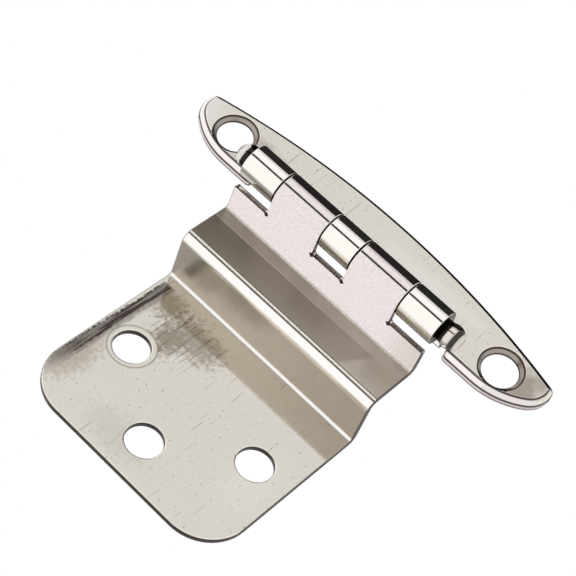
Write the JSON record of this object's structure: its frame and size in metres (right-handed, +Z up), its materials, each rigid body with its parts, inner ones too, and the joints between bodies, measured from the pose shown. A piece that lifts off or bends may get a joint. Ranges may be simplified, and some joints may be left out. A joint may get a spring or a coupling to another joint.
{
  "type": "semi-concealed cabinet hinge",
  "caption": "Plated steel cabinet hinge for a lipped door: a curved wing screws to the frame and a stepped leaf goes round the lip to the door's back.",
  "frame": {"origin": "on the face of the cabinet frame, midway between the wing's two screw holes", "axes": "+Z up along the pin; -Y out of the cabinet, the way the exposed wing faces; +X along the frame, away from the door opening, so the door leaf lies towards -X"},
  "size_m": [0.06, 0.02, 0.0712],
  "materials": {
    "wing_plating": "polished nickel",
    "leaf_plating": "polished nickel with fine rubbing marks",
    "pin_plating": "polished nickel"
  },
  "bodies": {
    "wing": {"frame_wing": "wing_plating", "hinge_pin": "pin_plating"},
    "leaf": {"door_leaf": "leaf_plating"}
  },
  "joints": [
    {"name": "door_swing", "type": "hinge", "parent": "wing", "child": "leaf", "pos_m": [-0.00655, -0.0094, 0], "axis": [0, 0, 1], "range_deg": [-7.5, 172.5]}
  ]
}
